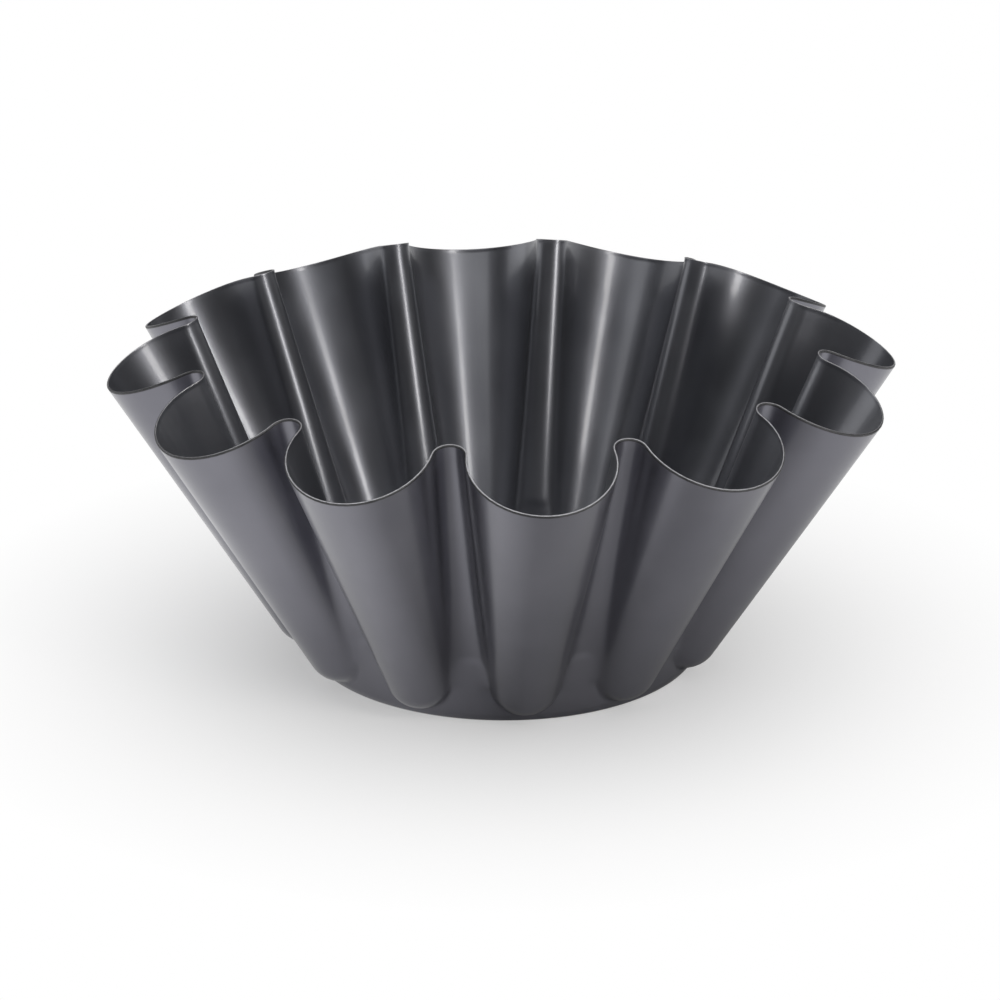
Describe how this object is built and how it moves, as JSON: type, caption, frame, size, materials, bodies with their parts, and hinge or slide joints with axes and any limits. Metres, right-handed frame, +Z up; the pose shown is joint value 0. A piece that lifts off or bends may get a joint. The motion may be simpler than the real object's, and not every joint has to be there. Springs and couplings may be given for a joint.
{
  "type": "fluted brioche mould",
  "caption": "Round fluted baking mould in thin dark coated steel: deep rounded lobes flare up from a small flat base to an open, scalloped rim.",
  "frame": {"origin": "centre of the flat underside, on the surface that the mould stands on", "axes": "+Z up along the mould's axis, +X through the middle of one lobe"},
  "size_m": [0.22, 0.22, 0.0925],
  "materials": {
    "coated_steel": "satin dark grey non-stick coating inside and outside"
  },
  "bodies": {
    "root": {"mould_body": "coated_steel"}
  },
  "joints": []
}
